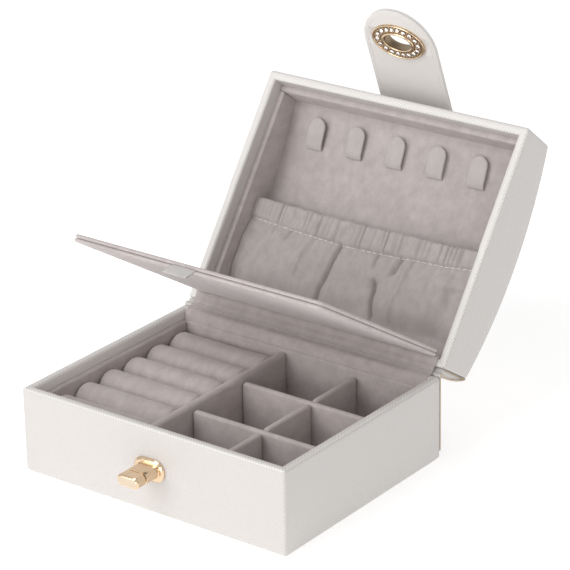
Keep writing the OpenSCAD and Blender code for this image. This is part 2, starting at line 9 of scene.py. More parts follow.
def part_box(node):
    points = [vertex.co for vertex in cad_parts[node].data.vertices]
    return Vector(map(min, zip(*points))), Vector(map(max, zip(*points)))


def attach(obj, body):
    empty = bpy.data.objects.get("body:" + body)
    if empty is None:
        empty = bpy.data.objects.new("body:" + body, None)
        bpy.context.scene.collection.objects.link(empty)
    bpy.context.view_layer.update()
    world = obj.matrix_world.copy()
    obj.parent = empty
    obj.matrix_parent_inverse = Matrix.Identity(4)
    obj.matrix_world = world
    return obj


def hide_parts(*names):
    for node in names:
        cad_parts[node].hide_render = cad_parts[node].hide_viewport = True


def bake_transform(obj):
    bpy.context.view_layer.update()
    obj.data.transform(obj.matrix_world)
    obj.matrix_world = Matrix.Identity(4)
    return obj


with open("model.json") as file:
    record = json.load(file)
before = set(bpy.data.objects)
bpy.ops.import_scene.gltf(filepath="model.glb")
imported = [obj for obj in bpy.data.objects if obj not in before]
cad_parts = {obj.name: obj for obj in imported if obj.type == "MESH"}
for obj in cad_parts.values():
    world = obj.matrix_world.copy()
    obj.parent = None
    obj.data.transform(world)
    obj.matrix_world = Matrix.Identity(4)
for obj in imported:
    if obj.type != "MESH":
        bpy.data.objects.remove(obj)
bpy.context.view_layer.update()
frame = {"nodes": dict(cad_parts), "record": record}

MM = 0.001

# ---- camera, at the photograph's viewing angle, from a long way off ----

AZIMUTH = math.radians(37.273)
ELEVATION = math.radians(22.886)
ROLL = math.radians(-1.079)
CAMERA_FAR = 1.513
CAMERA_RIGHT = 0.0262
CAMERA_UP = 0.0914
CAMERA_LENS = 187.95


def make_camera():
    back = Vector((math.sin(AZIMUTH) * math.cos(ELEVATION), -math.cos(AZIMUTH) * math.cos(ELEVATION),
                   math.sin(ELEVATION)))
    right = Vector((math.cos(AZIMUTH), math.sin(AZIMUTH), 0))
    up = back.cross(right)
    turned_right = right * math.cos(ROLL) + up * math.sin(ROLL)
    turned_up = up * math.cos(ROLL) - right * math.sin(ROLL)
    data = bpy.data.cameras.new("camera")
    data.lens = CAMERA_LENS
    data.sensor_width = 36
    data.clip_end = 30
    camera = bpy.data.objects.new("camera", data)
    bpy.context.collection.objects.link(camera)
    place = Matrix((turned_right, turned_up, back)).transposed().to_4x4()
    place.translation = back * CAMERA_FAR + turned_right * CAMERA_RIGHT + turned_up * CAMERA_UP
    camera.matrix_world = place
    bpy.context.scene.camera = camera


make_camera()

# ---- sizes, in millimetres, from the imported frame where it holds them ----

joints = {j["name"]: j for j in frame["record"]["behaviour"]["joints"]}


def joint_point(name):
    return Vector(joints[name]["pos_m"]) / MM


def node_box(name):
    low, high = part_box(name)
    return Vector(low) / MM, Vector(high) / MM


def node_middle(name):
    low, high = node_box(name)
    return (low + high) / 2


cover_low, cover_high = node_box("base_cover")
HALF_W = cover_high.x
HALF_D = cover_high.y
BASE_H = cover_high.z
FOOT = cover_low.z
HINGE = joint_point("lid_hinge")
PIVOT = joint_point("flap_hinge")
FOLD = joint_point("strap_fold")
LOCK = joint_point("knob_turn")
LID_OPEN = math.radians(-joints["lid_hinge"]["range_deg"][0])
FLAP_RISE = LID_OPEN - math.radians(joints["flap_hinge"]["range_deg"][1])
eyelet_way = node_middle("eyelet_outer") - FOLD
EYELET_DROP = 49.2
STRAP_TURN = -math.atan2(-eyelet_way.y, -eyelet_way.z)

WALL = 5.0
LEATHER = 0.8
LINER = 3.2
LOST = 0.7  # how far a liner's back edge runs into the wall
LINER_TOP = node_box("liner_rear")[1].z
TURN_IN = 12.0
EDGE_R = 1.8
CORNER_R = 1.7
RIM_VELVET = 0.5

RIM_Z = -0.6
LID_WALL = 24.2
LID_DRAFT = 1.2
LID_LEAN = LID_DRAFT / (LID_WALL - RIM_Z)
LID_MID = -(HALF_D + 2)
DOME_RISE = 9.5
dome_half = HALF_D - LID_DRAFT
DOME_R = (dome_half ** 2 + DOME_RISE ** 2) / (2 * DOME_RISE)
DOME_Z = LID_WALL + DOME_RISE - DOME_R
LINER_LOW = RIM_Z + 8
PANEL_IN = WALL - LEATHER + 2.3

LID = Matrix.Translation(HINGE) @ Matrix.Rotation(-LID_OPEN, 4, "X")
FLAP = Matrix.Translation(PIVOT) @ Matrix.Rotation(-FLAP_RISE, 4, "X")
STRAP = Matrix.Translation(FOLD) @ Matrix.Rotation(STRAP_TURN, 4, "X")
ROOM = Matrix.Identity(4)

# ---- mesh helpers: everything is built in millimetres and placed by a matrix ----


def add_object(name, verts, faces, material, place=ROOM, sharp=40):
    mesh = bpy.data.meshes.new(name)
    mesh.from_pydata([(place @ Vector(v)) * MM for v in verts], [], faces)
    tidy = bmesh.new()
    tidy.from_mesh(mesh)
    bmesh.ops.remove_doubles(tidy, verts=tidy.verts, dist=1e-6)
    bmesh.ops.recalc_face_normals(tidy, faces=tidy.faces)
    tidy.to_mesh(mesh)
    tidy.free()
    mesh.polygons.foreach_set("use_smooth", [True] * len(mesh.polygons))
    mesh.set_sharp_from_angle(angle=math.radians(sharp))
    mesh.materials.append(material)
    obj = bpy.data.objects.new(name, mesh)
    bpy.context.collection.objects.link(obj)
    return obj


def bridge(loops, closed=False, gap=None):
    """Faces between loops that all have the same number of points, but for one gap after a loop."""
    count = len(loops[0])
    faces = []
    for k in range(len(loops) if closed else len(loops) - 1):
        if k == gap:
            continue
        a, b = k * count, (k + 1) % len(loops) * count
        faces += [(a + i, a + (i + 1) % count, b + (i + 1) % count, b + i) for i in range(count)]
    return faces


def capped(parts):
    """The points and faces of many small solids, each a list of loops with a cap at both ends."""
    verts, faces = [], []
    for loops in parts:
        first, count = len(verts), len(loops[0])
        last = first + (len(loops) - 1) * count
        verts += [p for loop in loops for p in loop]
        faces += [tuple(first + i for i in face) for face in bridge(loops)]
        faces += [tuple(range(first, first + count)), tuple(range(last, last + count))]
    return verts, faces


def loft(name, loops, material, place=ROOM, closed=False, sharp=40):
    """A closed solid through the loops, capped at both ends or joined into a ring."""
    if closed:
        verts, faces = [p for loop in loops for p in loop], bridge(loops, True)
    else:
        verts, faces = capped([loops])
    return add_object(name, verts, faces, material, place, sharp)


def arc(steps, start=0.0, end=90.0):
    """Sines and cosines at even steps of an arc, in degrees."""
    turns = [math.radians(start + (end - start) * k / steps) for k in range(steps + 1)]
    return [(math.sin(t), math.cos(t)) for t in turns]


def rect_loop(half_x, half_y, r, corner_n=5, side_n=1):
    """A rectangle with rounded corners, anticlockwise from the front of its right side."""
    r = max(min(r, half_x, half_y), 0.01)
    x, y = half_x - r, half_y - r
    points = [(half_x, -y + 2 * y * k / side_n) for k in range(side_n)]
    for cx, cy, start in ((x, y, 0), (-x, y, 90), (-x, -y, 180), (x, -y, 270)):
        for s, c in arc(corner_n, start, start + 90):
            points.append((cx + r * c, cy + r * s))
        if start == 90:
            points += [(-half_x, y - 2 * y * k / side_n) for k in range(1, side_n)]
    return points[:-1]


def rounded_steps(low, high, r, steps=4):
    """Pairs of inset and height that round both edges of a slab."""
    r = min(r, (high - low) / 2)
    lower = [(r * (1 - s), low + r * (1 - c)) for s, c in arc(steps)]
    return lower + [(inset, low + high - z) for inset, z in reversed(lower)]


def soft_board(name, low, high, material, thin, edge=1.2, corner=1.6, place=ROOM, lean=0.0):
    """A board covered in cloth: a slab with soft edges, thin along the axis given."""
    axes = [a for a in range(3) if a != thin]
    middle = [(low[a] + high[a]) / 2 for a in axes]
    half = [(high[a] - low[a]) / 2 for a in axes]
    loops = []
    for inset, level in rounded_steps(low[thin], high[thin], edge):
        loop = []
        for u, v in rect_loop(half[0] - inset, half[1] - inset, corner - inset):
            point = [0.0, 0.0, 0.0]
            point[axes[0]], point[axes[1]], point[thin] = middle[0] + u, middle[1] + v, level
            point[1] += lean * point[2]
            loop.append(point)
        loops.append(loop)
    return loft(name, loops, material, place)


def sink(obj, amount, size, seed=0.0):
    """Small uneven swells along the normals, as on hand-wrapped cloth."""
    for v in obj.data.vertices:
        v.co += v.normal * noise.noise(v.co / (size * MM) + Vector((seed, 3 * seed, 0))) * amount * MM


def weave_map(obj, place=ROOM):
    """Flat coordinates in millimetres, laid on each face along the axes of its own body."""
    layer = obj.data.uv_layers.new(name="weave")
    back = place.to_3x3().inverted()
    local = [back @ (v.co / MM) for v in obj.data.vertices]
    for face in obj.data.polygons:
        n = back @ face.normal
        drop = max(range(3), key=lambda a: abs(n[a]))
        u, v = [a for a in range(3) if a != drop]
        for k in face.loop_indices:
            p = local[obj.data.loops[k].vertex_index]
            layer.data[k].uv = (p[u], p[v])


def done(obj, body, slot, *nodes):
    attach(obj, body)
    if nodes:
        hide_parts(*nodes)
    return obj


def blended(obj, slot, bodies, start, end, *nodes):
    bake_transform(obj)
    if nodes:
        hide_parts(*nodes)
    return obj


# ---- materials ----


class Shader:
    """A node material with one Principled shader, whose even values are set on its own sockets."""

    def __init__(self, name, **values):
        self.material = bpy.data.materials.new(name)
        self.material.use_nodes = True
        self.nodes = self.material.node_tree.nodes
        self.links = self.material.node_tree.links
        self.shader = self.nodes["Principled BSDF"]
        for key, value in values.items():
            self.shader.inputs[key.replace("_", " ")].default_value = value

    def node(self, kind, inputs=None, **settings):
        made = self.nodes.new(kind)
        for key, value in settings.items():
            setattr(made, key, value)
        for key, value in (inputs or {}).items():
            if isinstance(value, bpy.types.NodeSocket):
                self.links.new(value, made.inputs[key])
            else:
                made.inputs[key].default_value = value
        return made

    def math(self, operation, a, b=0.0):
        return self.node("ShaderNodeMath", {0: a, 1: b}, operation=operation).outputs[0]

    def noise(self, scale, detail=3.0, roughness=0.55, stretch=(1, 1, 1)):
        where = self.node("ShaderNodeTexCoord").outputs["Object"]
        if stretch != (1, 1, 1):
            where = self.node("ShaderNodeMapping", {"Vector": where, "Scale": stretch}).outputs[0]
        return self.node("ShaderNodeTexNoise", {"Vector": where, "Scale": scale, "Detail": detail,
                                                "Roughness": roughness}).outputs[0]

    def ramp(self, value, stops):
        ramp = self.node("ShaderNodeValToRGB", {0: value})
        while len(ramp.color_ramp.elements) < len(stops):
            ramp.color_ramp.elements.new(0.5)
        for element, (place, colour) in zip(ramp.color_ramp.elements, stops):
            element.position = place
            element.color = (*colour, 1)
        return ramp.outputs[0]

    def colour(self, socket):
        self.links.new(socket, self.shader.inputs["Base Color"])

    def roughness(self, value, low, high):
        spread = self.node("ShaderNodeMapRange", {"Value": value, "To Min": low, "To Max": high})
        self.links.new(spread.outputs[0], self.shader.inputs["Roughness"])

    def bumps(self, *layers):
        """Bump layers of (height socket, strength, depth in millimetres)."""
        normal = None
        for height, strength, depth in layers:
            inputs = {"Height": height, "Strength": strength, "Distance": depth * MM}
            if normal is not None:
                inputs["Normal"] = normal
            normal = self.node("ShaderNodeBump", inputs).outputs[0]
        self.links.new(normal, self.shader.inputs["Normal"])


def leather_material(name, groove_shade, crest_highlight, depth=0.07):
    """White coated leather embossed with a fine lattice of slanting grains, painted darker in its grooves
    and lighter on its crests as shade and highlight.
    """
    s = Shader(name, Coat_Weight=0.2, Coat_Roughness=0.25)
    flat = s.node("ShaderNodeUVMap", uv_map="weave").outputs[0]
    split = s.node("ShaderNodeSeparateXYZ", {0: flat})
    uneven = s.noise(900, 2.0)
    drift = s.math("MULTIPLY", uneven, 1.6)
    ridges = []
    for across, along in ((4.0, 2.5), (3.1, -3.6)):
        phase = s.math("ADD", s.math("MULTIPLY", split.outputs[0], across),
                       s.math("MULTIPLY", split.outputs[1], along))
        ridges.append(s.math("SINE", s.math("ADD", phase, drift)))
    lattice = s.math("ADD", s.math("MULTIPLY", ridges[0], 0.6), s.math("MULTIPLY", ridges[1], 0.4))
    height = s.math("ADD", s.math("MULTIPLY", lattice, 0.5), 0.5)
    # painted shade in the grooves and painted highlight on the crests, over the real emboss made by the
    # bumps
    s.colour(s.ramp(height, [(0.1, groove_shade), (0.75, crest_highlight)]))
    s.roughness(height, 0.5, 0.3)
    s.bumps((height, 0.8, depth), (s.noise(2600, 2.0), 0.25, 0.04))
    return s.material


def velvet_material(name, dark, light, sheen=0.35):
    """Short pile: blotches where it is brushed, a fine speckle of fibre ends, and a soft sheen."""
    s = Shader(name, Roughness=0.9, Sheen_Weight=sheen, Sheen_Roughness=0.45,
               Sheen_Tint=(0.92, 0.88, 0.87, 1), Specular_IOR_Level=0.2)
    fibres = s.noise(3800, 3.0, 0.7)
    brushed = s.noise(170, 4.0, 0.65, (1, 0.45, 1))
    blend = s.math("ADD", s.math("MULTIPLY", fibres, 0.45), s.math("MULTIPLY", brushed, 0.55))
    s.colour(s.ramp(blend, [(0.36, dark), (0.64, light)]))
    s.bumps((brushed, 0.25, 0.25), (fibres, 0.5, 0.12))
    return s.material


def cloth_material(name, dark, light):
    """Thin brushed cloth with a plain weave."""
    s = Shader(name, Roughness=0.88, Sheen_Weight=0.25, Sheen_Roughness=0.5,
               Sheen_Tint=(0.92, 0.89, 0.88, 1), Specular_IOR_Level=0.2)
    fibres = s.noise(4200, 2.0, 0.6)
    brushed = s.noise(240, 4.0, 0.6, (1, 1, 0.5))
    s.colour(s.ramp(s.math("ADD", s.math("MULTIPLY", fibres, 0.4), s.math("MULTIPLY", brushed, 0.6)),
                    [(0.36, dark), (0.66, light)]))
    s.bumps((brushed, 0.3, 0.3), (fibres, 0.4, 0.08))
    return s.material


def gold_material(name, colour, rough, brushed):
    """Polished plated metal, with fine brush lines where it is asked for."""
    s = Shader(name, Metallic=1.0, Roughness=rough)
    streak = s.noise(900, 3.0, 0.6, (0.12, 1, 1) if brushed else (1, 1, 1))
    dull = tuple(0.9 * c for c in colour)
    s.colour(s.ramp(streak, [(0.3, dull), (0.7, colour)]))
    s.roughness(streak, rough * 0.7, rough * 1.5)
    s.bumps((streak, 0.25 if brushed else 0.06, 0.03))
    return s.material


def grained_material(name, dark, light, rough, scale=500, depth=0.1):
    s = Shader(name, Roughness=rough)
    grain = s.noise(scale, 5.0, 0.6)
    s.colour(s.ramp(grain, [(0.35, dark), (0.65, light)]))
    s.roughness(grain, rough * 0.9, min(rough * 1.1, 1.0))
    s.bumps((grain, 0.4, depth))
    return s.material


def stone_material():
    s = Shader("foil_backed_stone", Metallic=0.92, Roughness=0.06, Coat_Weight=1.0, Coat_Roughness=0.03)
    s.colour(s.ramp(s.noise(700, 1.0), [(0.35, (0.78, 0.70, 0.62)), (0.65, (0.97, 0.95, 0.93))]))
    return s.material


white_leather = leather_material("white_leather", (0.56, 0.533, 0.512), (0.625, 0.596, 0.575))
# a lighter copy of the white leather for rims and turn-ins: painted highlight, with a deeper emboss
rim_highlight_leather = leather_material("rim_highlight_leather", (0.66, 0.632, 0.608), (0.80, 0.77, 0.745), 0.09)
strap_leather = leather_material("strap_leather", (0.675, 0.647, 0.617), (0.725, 0.693, 0.662), 0.03)
grey_velvet = velvet_material("grey_velvet", (0.435, 0.388, 0.378), (0.57, 0.515, 0.505))
hook_velvet = velvet_material("hook_velvet", (0.47, 0.43, 0.42), (0.55, 0.505, 0.49), 0.3)
# the pocket's cloth, a little darker than the velvet: painted shade on the pocket
shaded_pocket_fabric = cloth_material("shaded_pocket_fabric", (0.425, 0.384, 0.372), (0.525, 0.479, 0.467))
ribbon_cloth = cloth_material("ribbon_cloth", (0.447, 0.421, 0.413), (0.516, 0.494, 0.486))
gold = gold_material("gold", (0.80, 0.61, 0.42), 0.14, False)
brushed_gold = gold_material("brushed_gold", (0.76, 0.63, 0.48), 0.3, True)
# dark brown gold for the eyelet's hole and channel floor: painted shade in these recesses
painted_shade_gold = gold_material("painted_shade_gold", (0.40, 0.30, 0.20), 0.32, False)
stone = stone_material()
thread = grained_material("thread", (0.66, 0.63, 0.61), (0.80, 0.78, 0.76), 0.7, 3000, 0.05)
pale_thread = grained_material("pale_thread", (0.80, 0.78, 0.76), (0.92, 0.91, 0.89), 0.65, 3000, 0.05)
raw_edge = grained_material("raw_edge", (0.46, 0.36, 0.24), (0.62, 0.50, 0.36), 0.8, 1500, 0.1)
fibre_board = grained_material("fibre_board", (0.30, 0.23, 0.16), (0.42, 0.34, 0.25), 0.85)
foot_paper = grained_material("foot_paper", (0.68, 0.66, 0.63), (0.76, 0.74, 0.71), 0.6, 900, 0.06)
steel = grained_material("backing_steel", (0.45, 0.45, 0.45), (0.6, 0.6, 0.6), 0.4)
elastic_band = grained_material("elastic_band", (0.7, 0.7, 0.7), (0.82, 0.82, 0.82), 0.8, 1800)

# ---- base ----


def paint_rim_highlight(obj, level, turned_in, place=ROOM):
    """Leather pulled over an edge shows its ribs more; the rim and what turns in also get a lighter copy of
    the leather, a painted highlight.
    """
    obj.data.materials.append(rim_highlight_leather)
    back = place.inverted()
    for face in obj.data.polygons:
        x, y, z = back @ (face.center / MM)
        inside = abs(x) < HALF_W - 2.5 and abs(y) < HALF_D - 2.5
        if abs(z - level) < (turned_in if inside else 0.9):
            face.material_index = 1


def base_shell():
    """The leather round the base: turned under the walls, over the rim and in above the liner."""
    r = EDGE_R
    foot_r = 1.0
    profile = [(14, FOOT), *[(foot_r * (1 - s), FOOT + foot_r * (1 - c)) for s, c in arc(4)]]
    profile += [(r * (1 - c), BASE_H - r + r * s) for s, c in arc(6)]
    profile += [(WALL - r * (1 - s), BASE_H - r * (1 - c)) for s, c in arc(6)]
    profile += [(WALL, BASE_H - TURN_IN), (WALL - LEATHER, BASE_H - TURN_IN),
                (WALL - LEATHER, BASE_H - LEATHER), (LEATHER, BASE_H - LEATHER),
                (LEATHER, FOOT + 0.6), (14, FOOT + 0.6)]
    loops = []
    for inset, z in profile:
        loop = rect_loop(HALF_W - inset, HALF_D - inset, CORNER_R - inset)
        lower = RIM_VELVET if z > BASE_H - EDGE_R else 0.0
        loops.append([(x, y, z - (lower if y > 0 else 0.0)) for x, y in loop])
    shell = loft("base_leather", loops, white_leather, closed=True, sharp=50)
    weave_map(shell)
    paint_rim_highlight(shell, BASE_H, TURN_IN)
    return done(shell, "base", "white_leather", "base_cover")


def velvet_node(name, thin, edge=1.3, corner=1.5, into_wall=0.0):
    """A velvet board in the place of the CAD node of the same name, its back edge lost in the wall."""
    low, high = node_box(name)
    if low[thin] + high[thin] > 0:
        high[thin] += into_wall
    else:
        low[thin] -= into_wall
    board = soft_board(name + "_velvet", low, high, grey_velvet, thin, edge, corner)
    return done(board, "base", "grey_velvet", name)


def base_liners():
    for name, thin in (("liner_front", 1), ("liner_rear", 1), ("liner_left", 0), ("liner_right", 0)):
        velvet_node(name, thin, 1.3, 0.8, LOST)
    velvet_node("liner_floor", 2, 0.5, 0.5)
    velvet_node("roll_divider", 0, 2.0, 2.0)
    for name in ("cross_divider_rear", "cross_divider_front"):
        velvet_node(name, 1, 1.4, 2.2)
    for name in ("cell_divider_rear", "cell_divider_middle", "cell_divider_front"):
        velvet_node(name, 0, 1.4, 2.2)


def ring_roll(index):
    """A foam roll in velvet: round on top, soft ends, and a little uneven along its length."""
    name = f"ring_roll_{index}"
    low, high = node_box(name)
    half = (high.y - low.y) / 2
    middle_y = (high.y + low.y) / 2
    crown_z = high.z - half
    end_r = 3.2
    ends = [(end_r * (1 - s), low.x + end_r * (1 - c)) for s, c in arc(6)]
    length = high.x - low.x
    straight = [(0.0, low.x + end_r + (length - 2 * end_r) * k / 14) for k in range(1, 14)]
    stations = ends + straight + [(inset, low.x + high.x - x) for inset, x in reversed(ends)]
    loops = []
    for inset, x in stations:
        r = half - inset
        loop = [(x, middle_y + r * c, crown_z + r * s) for s, c in arc(20, 0, 180)]
        loop += [(x, middle_y - r, low.z + inset), (x, middle_y + r, low.z + inset)]
        loops.append(loop)
    roll = loft(name + "_foam", loops, grey_velvet)
    sink(roll, 0.35, 14, index)
    done(roll, "base", "grey_velvet", name)
    return roll


# ---- a strip of cloth or leather along a path in the Y-Z plane ----


def smooth_path(points, steps=6):
    """A rounded curve through the points given, as a list of (y, z)."""
    ends = [points[0], *points, points[-1]]
    path = []
    for k in range(1, len(ends) - 2):
        p0, p1, p2, p3 = (Vector((*p, 0)) for p in ends[k - 1:k + 3])
        for i in range(steps):
            t = i / steps
            path.append(0.5 * (2 * p1 + (p2 - p0) * t + (2 * p0 - 5 * p1 + 4 * p2 - p3) * t ** 2
                               + (3 * p1 - p0 - 3 * p2 + p3) * t ** 3))
    path.append(Vector((*points[-1], 0)))
    return [(p.x, p.y) for p in path]


def strip(name, path, thick, half_x, material, place=ROOM, columns=24, wave=0.0):
    """A closed strip along a path; thick is a number, or a function of the share of its length."""
    depth = thick if callable(thick) else lambda share: thick
    count = len(path)
    sections = []
    for k, (y, z) in enumerate(path):
        a, b = path[max(k - 1, 0)], path[min(k + 1, count - 1)]
        run = Vector((b[0] - a[0], b[1] - a[1])).normalized()
        side = Vector((-run.y, run.x)) * depth(k / (count - 1)) / 2
        sections.append(((y + side.x, z + side.y), (y - side.x, z - side.y)))
    loops = []
    for c in range(columns + 1):
        x = -half_x + 2 * half_x * c / columns
        swells = [wave * noise.noise(Vector((x / 18, k / 5, 1.7))) for k in range(count)]
        above = [(x, upper[0], upper[1] + swell) for (upper, _), swell in zip(sections, swells)]
        below = [(x, lower[0], lower[1] + swell) for (_, lower), swell in zip(sections, swells)]
        loops.append(above + below[::-1])
    return loft(name, loops, material, place, sharp=50)


def lid_point(y, z):
    p = LID @ Vector((0, y, z))
    return p.y, p.z


VELVET_BEND = (Vector((0, HALF_D - 0.6, BASE_H + 0.4)), Vector((0, HALF_D + 2.0, BASE_H + 3.0)))


def hinge_velvet():
    """Velvet from the rear liner over the rear rim, creased at the hinge, and into the lid."""
    inner_y = HALF_D - WALL
    path = smooth_path([
        (inner_y - LINER + 1.9, LINER_TOP - 1.5), (inner_y - LINER + 1.7, LINER_TOP - 0.1),
        (inner_y - 1.0, LINER_TOP + 2.4), (inner_y + 0.6, BASE_H - 0.7),
        (inner_y + 3.4, BASE_H + 0.1), (HALF_D + 0.2, BASE_H + 0.9), (HALF_D + 1.5, BASE_H + 2.5),
        lid_point(-3.4, RIM_Z - 0.15), lid_point(-6.6, RIM_Z - 0.2), lid_point(-7.6, RIM_Z + 3),
        lid_point(-8.0, LINER_LOW + 0.3)])
    velvet = strip("hinge_velvet", path, 0.5, HALF_W - WALL - 0.2, grey_velvet, columns=40, wave=0.12)
    blended(velvet, "grey_velvet", ("base", "lid"), *VELVET_BEND, "base_hinge_velvet", "lid_hinge_velvet")


def crease_ridges():
    """The two fine ridges where the hinge velvet is creased."""
    for k, (y, z) in enumerate(((HALF_D - 0.5, BASE_H + 0.95), (HALF_D + 0.5, BASE_H + 1.75))):
        path = [(y - 0.35, z - 0.3), (y, z + 0.02), (y + 0.4, z - 0.05)]
        ridge = strip(f"hinge_crease_{k + 1}", path, 0.4, HALF_W - WALL - 0.6, hook_velvet, columns=30)
        blended(ridge, "grey_velvet", ("base", "lid"), *VELVET_BEND)


def spine():
    """The leather strip down the back, with the open fold that it makes under the lid's rear wall."""
    face_y = HALF_D + LEATHER / 2
    down = [(face_y, 4.5 + 5.2 * k) for k in range(8)]
    # how far the open fold stands off the lid's rear wall, and the height on that wall
    slack = ((2.0, 0.7), (3.1, 2.6), (3.3, 6.0), (3.0, 10.5), (2.3, 15.0), (1.3, 19.5),
             (0.2, 22.8), (-0.5, 23.9))
    wall = [(-2 + 0.5 - (z - RIM_Z) * LID_LEAN, z) for _, z in slack]
    outer = [(y + 0.1 + out, z) for (y, z), (out, _) in zip(wall, slack)]
    over_rim = [(face_y, BASE_H - 2.0), (face_y + 0.4, BASE_H - 0.2)]
    sheet = down + smooth_path(over_rim + [lid_point(*p) for p in outer], 5)
    start, end = Vector((0, HALF_D, BASE_H - 1.5)), Vector((0, HALF_D + 2.6, BASE_H + 0.6))
    pieces = [strip("spine_leather", sheet, LEATHER, HALF_W - 0.3, white_leather, columns=8)]
    lining = smooth_path([lid_point(*p) for p in wall], 5)
    pieces.append(strip("spine_lining", lining, 0.5, HALF_W - 0.4, white_leather, columns=8))
    for piece in pieces:
        piece.data.materials.append(raw_edge)
        for face in piece.data.polygons:
            if abs(face.normal.x) > 0.9:
                face.material_index = 1
        weave_map(piece)
    blended(pieces[0], "white_leather", ("base", "lid"), start, end, "base_spine", "lid_spine")
    done(pieces[1], "lid", "white_leather")
    count = len(lining)
    filling = [((a[0] + b[0]) / 2, (a[1] + b[1]) / 2) for a, b in zip(lining, sheet[-count:])]
    gaps = [max(math.dist(a, b) - 0.7, 0.1) for a, b in zip(lining, sheet[-count:])]
    core = strip("spine_filling", filling, lambda share: gaps[round(share * (count - 1))], HALF_W - 1.1,
                 white_leather, columns=4)
    weave_map(core)
    done(core, "lid", "white_leather")


# ---- lid ----


def dome_height(y, inset):
    return DOME_Z + math.sqrt((DOME_R - inset) ** 2 - (y - LID_MID) ** 2)


def lid_place_point(x, y0, height):
    """A point of the lid whose footprint is (x, y0); height is a function of the leaning y."""
    y = y0
    for _ in range(4):
        z = height(LID_MID + y)
        y = y0 * (1 - (z - RIM_Z) * LID_LEAN / HALF_D)
    return x, LID_MID + y, z


def lid_loop(inset, height):
    footprint = rect_loop(HALF_W - inset, HALF_D - inset, CORNER_R - inset, 5, 24)
    return [lid_place_point(x, y, height) for x, y in footprint]


def dome_cap(loop, first):
    """Strips across a loop, from its right side to its left."""
    count = len(loop)
    right = sorted((i for i in range(count) if loop[i][0] > 0), key=lambda i: loop[i][1])
    left = sorted((i for i in range(count) if loop[i][0] < 0), key=lambda i: loop[i][1])
    return [(first + right[k], first + right[k + 1], first + left[k + 1], first + left[k])
            for k in range(len(right) - 1)]


def lid_shell():
    """The leather of the lid: dome, walls, rim and turn-in, as one closed skin."""
    r = EDGE_R
    top_r = 1.1

    def level(z):
        return lambda y: z

    def share(t, low, drop, dome_inset):
        return lambda y: low + t * (dome_height(y, dome_inset) - drop - low)

    loops = [lid_loop(WALL, level(RIM_Z + TURN_IN))]
    loops += [lid_loop(WALL - r * (1 - c), level(RIM_Z + r * (1 - s))) for s, c in arc(6)]
    loops += [lid_loop(r * (1 - s), level(RIM_Z + r * (1 - c))) for s, c in arc(6)]
    loops += [lid_loop(0, share(t, RIM_Z + r, top_r, 0)) for t in (0.25, 0.5, 0.75, 1.0)]
    for s, c in arc(5)[1:]:
        loops.append(lid_loop(top_r * (1 - c), lambda y, s=s: dome_height(y, 0) - top_r * (1 - s)))
    outer_cap = len(loops) - 1
    inner_cap = len(loops)
    loops += [lid_loop(top_r, lambda y: dome_height(y, LEATHER)),
              lid_loop(LEATHER, lambda y: dome_height(y, LEATHER) - 0.5),
              lid_loop(LEATHER, level(RIM_Z + LEATHER)), lid_loop(WALL - LEATHER, level(RIM_Z + LEATHER)),
              lid_loop(WALL - LEATHER, level(RIM_Z + TURN_IN))]
    count = len(loops[0])
    faces = bridge(loops, True, gap=outer_cap)
    faces += dome_cap(loops[outer_cap], outer_cap * count)
    faces += dome_cap(loops[inner_cap], inner_cap * count)
    lowered = [[(x, y, z + (RIM_VELVET if y > LID_MID and z < RIM_Z + r else 0)) for x, y, z in loop]
               for loop in loops]
    shell = add_object("lid_leather", [p for loop in lowered for p in loop], faces, white_leather, LID, 50)
    weave_map(shell, LID)
    paint_rim_highlight(shell, RIM_Z, 0.9, LID)
    return done(shell, "lid", "white_leather", "lid_cover")


def curved_board(name, half_x, y0, y1, depth0, depth1, material, edge, place=LID, stations=26):
    """A board that follows the dome between two depths below it."""
    loops = []
    for k in range(stations + 1):
        y = y0 + (y1 - y0) * k / stations
        inset = edge if k in (0, stations) else 0
        loop = []
        for x, d in ((half_x, depth0), (half_x, depth1 - edge), (half_x - edge, depth1),
                     (-half_x + edge, depth1), (-half_x, depth1 - edge), (-half_x, depth0)):
            loop.append((x, y, dome_height(y, d - (inset if d == depth1 else 0))))
        loops.append(loop)
    return loft(name, loops, material, place, sharp=60)


def lid_liners():
    """Four leaning liner boards and the curved panel behind the hooks and the pocket."""
    half_in = HALF_W - WALL
    wall_top = LID_WALL - 3
    near = LID_MID - HALF_D + WALL
    lean_back = -RIM_Z * LID_LEAN
    for name, low_y, lean in (("lid_liner_front", near + lean_back - LOST, LID_LEAN),
                              ("lid_liner_rear", 2 * LID_MID - near - LINER - lean_back, -LID_LEAN)):
        low, high = (-half_in, low_y, LINER_LOW), (half_in, low_y + LINER + LOST, wall_top)
        board = soft_board(name + "_velvet", low, high, grey_velvet, 1, 1.2, 0.6, LID, lean)
        done(board, "lid", "grey_velvet", name)
    for name, side in (("lid_liner_left", -1), ("lid_liner_right", 1)):
        x = side * (half_in - (LINER - LOST) / 2)
        half = (LINER + LOST) / 2
        reach = HALF_D - WALL - LINER - 0.6
        loops = []
        for inset, level in rounded_steps(x - half, x + half, 1.2):
            near_y, far_y = LID_MID - reach + inset, LID_MID + reach - inset
            top = [near_y + (far_y - near_y) * k / 20 for k in range(21)]
            loops.append([(level, far_y, LINER_LOW + inset), (level, near_y, LINER_LOW + inset)]
                         + [(level, y, dome_height(y, 3.0)) for y in top])
        board = loft(name + "_velvet", loops, grey_velvet, LID)
        done(board, "lid", "grey_velvet", name)
    panel = curved_board("lid_back_velvet", half_in - 0.4, LID_MID - HALF_D + 8, LID_MID + HALF_D - 8,
                         WALL - LEATHER + 0.1, PANEL_IN, grey_velvet, 0.8)
    done(panel, "lid", "grey_velvet", "lid_back_panel")


def panel_place(y):
    """Placing on the back panel: +Z out through the dome, -Y to the lid's front."""
    r = DOME_R - PANEL_IN
    turn = math.asin((LID_MID - y) / r)
    middle = Matrix.Translation((0, LID_MID, DOME_Z))
    return LID @ middle @ Matrix.Rotation(turn, 4, "X") @ Matrix.Translation((0, 0, r))


HOOKS_BACK = 23.9  # from the lid's front to the middle of the hooks


